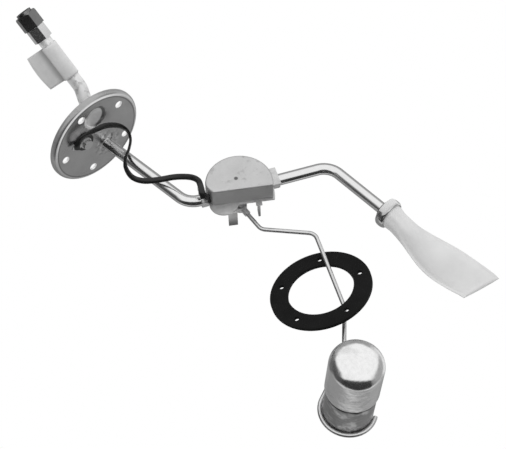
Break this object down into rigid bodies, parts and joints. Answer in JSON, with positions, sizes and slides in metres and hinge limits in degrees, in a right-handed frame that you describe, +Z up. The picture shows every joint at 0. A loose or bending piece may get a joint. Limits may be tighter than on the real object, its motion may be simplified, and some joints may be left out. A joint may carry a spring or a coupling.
{
  "type": "fuel tank sending unit",
  "caption": "Fuel tank level sender on a round bolted flange, with a bent pick-up tube, strainer sock, sender case, wire float arm, float and loose gasket.",
  "frame": {"origin": "centre of the flange's underside, where its gasket seats", "axes": "+Z up out of the tank along the flange's axis; +X along the tube's lower run towards the strainer; the float arm pivots about Y"},
  "size_m": [0.1514, 0.0962, 0.3482],
  "materials": {
    "zinc_sheet": "grey zinc-plated sheet with a soft sheen",
    "bright_tube": "bright plated drawn tube",
    "braze": "dull braze fillet",
    "dark_steel": "dark phosphated steel, light oil sheen",
    "paper_tape": "pale matt tape",
    "plated_screw": "plated small hardware",
    "black_insulator": "black moulded insulator",
    "lead_sleeve": "glossy black sleeve",
    "case_sheet": "pale pressed sheet, satin",
    "plate_sheet": "grey plated sheet",
    "card_board": "brown wound card",
    "contact_brass": "plain brass",
    "arm_wire": "drawn bright wire",
    "float_sheet": "tinned drawn sheet",
    "gasket_rubber": "black rubbed cork-rubber",
    "neck_sleeve": "black moulded sleeve",
    "mesh_cloth": "pale woven strainer cloth"
  },
  "bodies": {
    "sender": {"flange_plate": "zinc_sheet", "pickup_tube": "bright_tube", "braze_top": "braze", "braze_bottom": "braze", "outlet_adapter": "dark_steel", "tape_tag": "paper_tape", "terminal_stud": "plated_screw", "insulator_upper": "black_insulator", "insulator_lower": "black_insulator", "stud_washer": "plated_screw", "stud_nut": "plated_screw", "flange_lug": "plated_screw", "lead_wire": "lead_sleeve", "case_lug": "plated_screw", "case_insulator": "black_insulator", "case_rivet": "plated_screw", "sender_case": "case_sheet", "back_plate": "plate_sheet", "saddle_left": "plate_sheet", "saddle_right": "plate_sheet", "resistor_card": "card_board", "pivot_bush": "contact_brass", "sock_sleeve": "neck_sleeve", "strainer_sock": "mesh_cloth", "sock_ring": "bright_tube"},
    "arm": {"pivot_shaft": "plated_screw", "arm_hub": "plate_sheet", "wiper": "contact_brass", "float_arm": "arm_wire", "float_upper": "float_sheet", "float_lower": "float_sheet"},
    "loose_gasket": {"gasket": "gasket_rubber"},
    "outlet_nut": {"tube_nut": "plated_screw"}
  },
  "joints": [
    {"name": "float_swing", "type": "hinge", "parent": "sender", "child": "arm", "pos_m": [0.03922, 0.018, -0.0992], "axis": [0, 1, 0], "range_deg": [-15, 35]},
    {"name": "gasket_slide", "type": "slide", "parent": "arm", "child": "loose_gasket", "axis": [-0.4486, 0, -0.8937], "range_m": [-0.01, 0]},
    {"name": "nut_turn", "type": "hinge", "parent": "sender", "child": "outlet_nut", "pos_m": [0.0146, -0.012, 0.0335], "axis": [-0.095, -0.7039, 0.7039], "continuous": true}
  ]
}
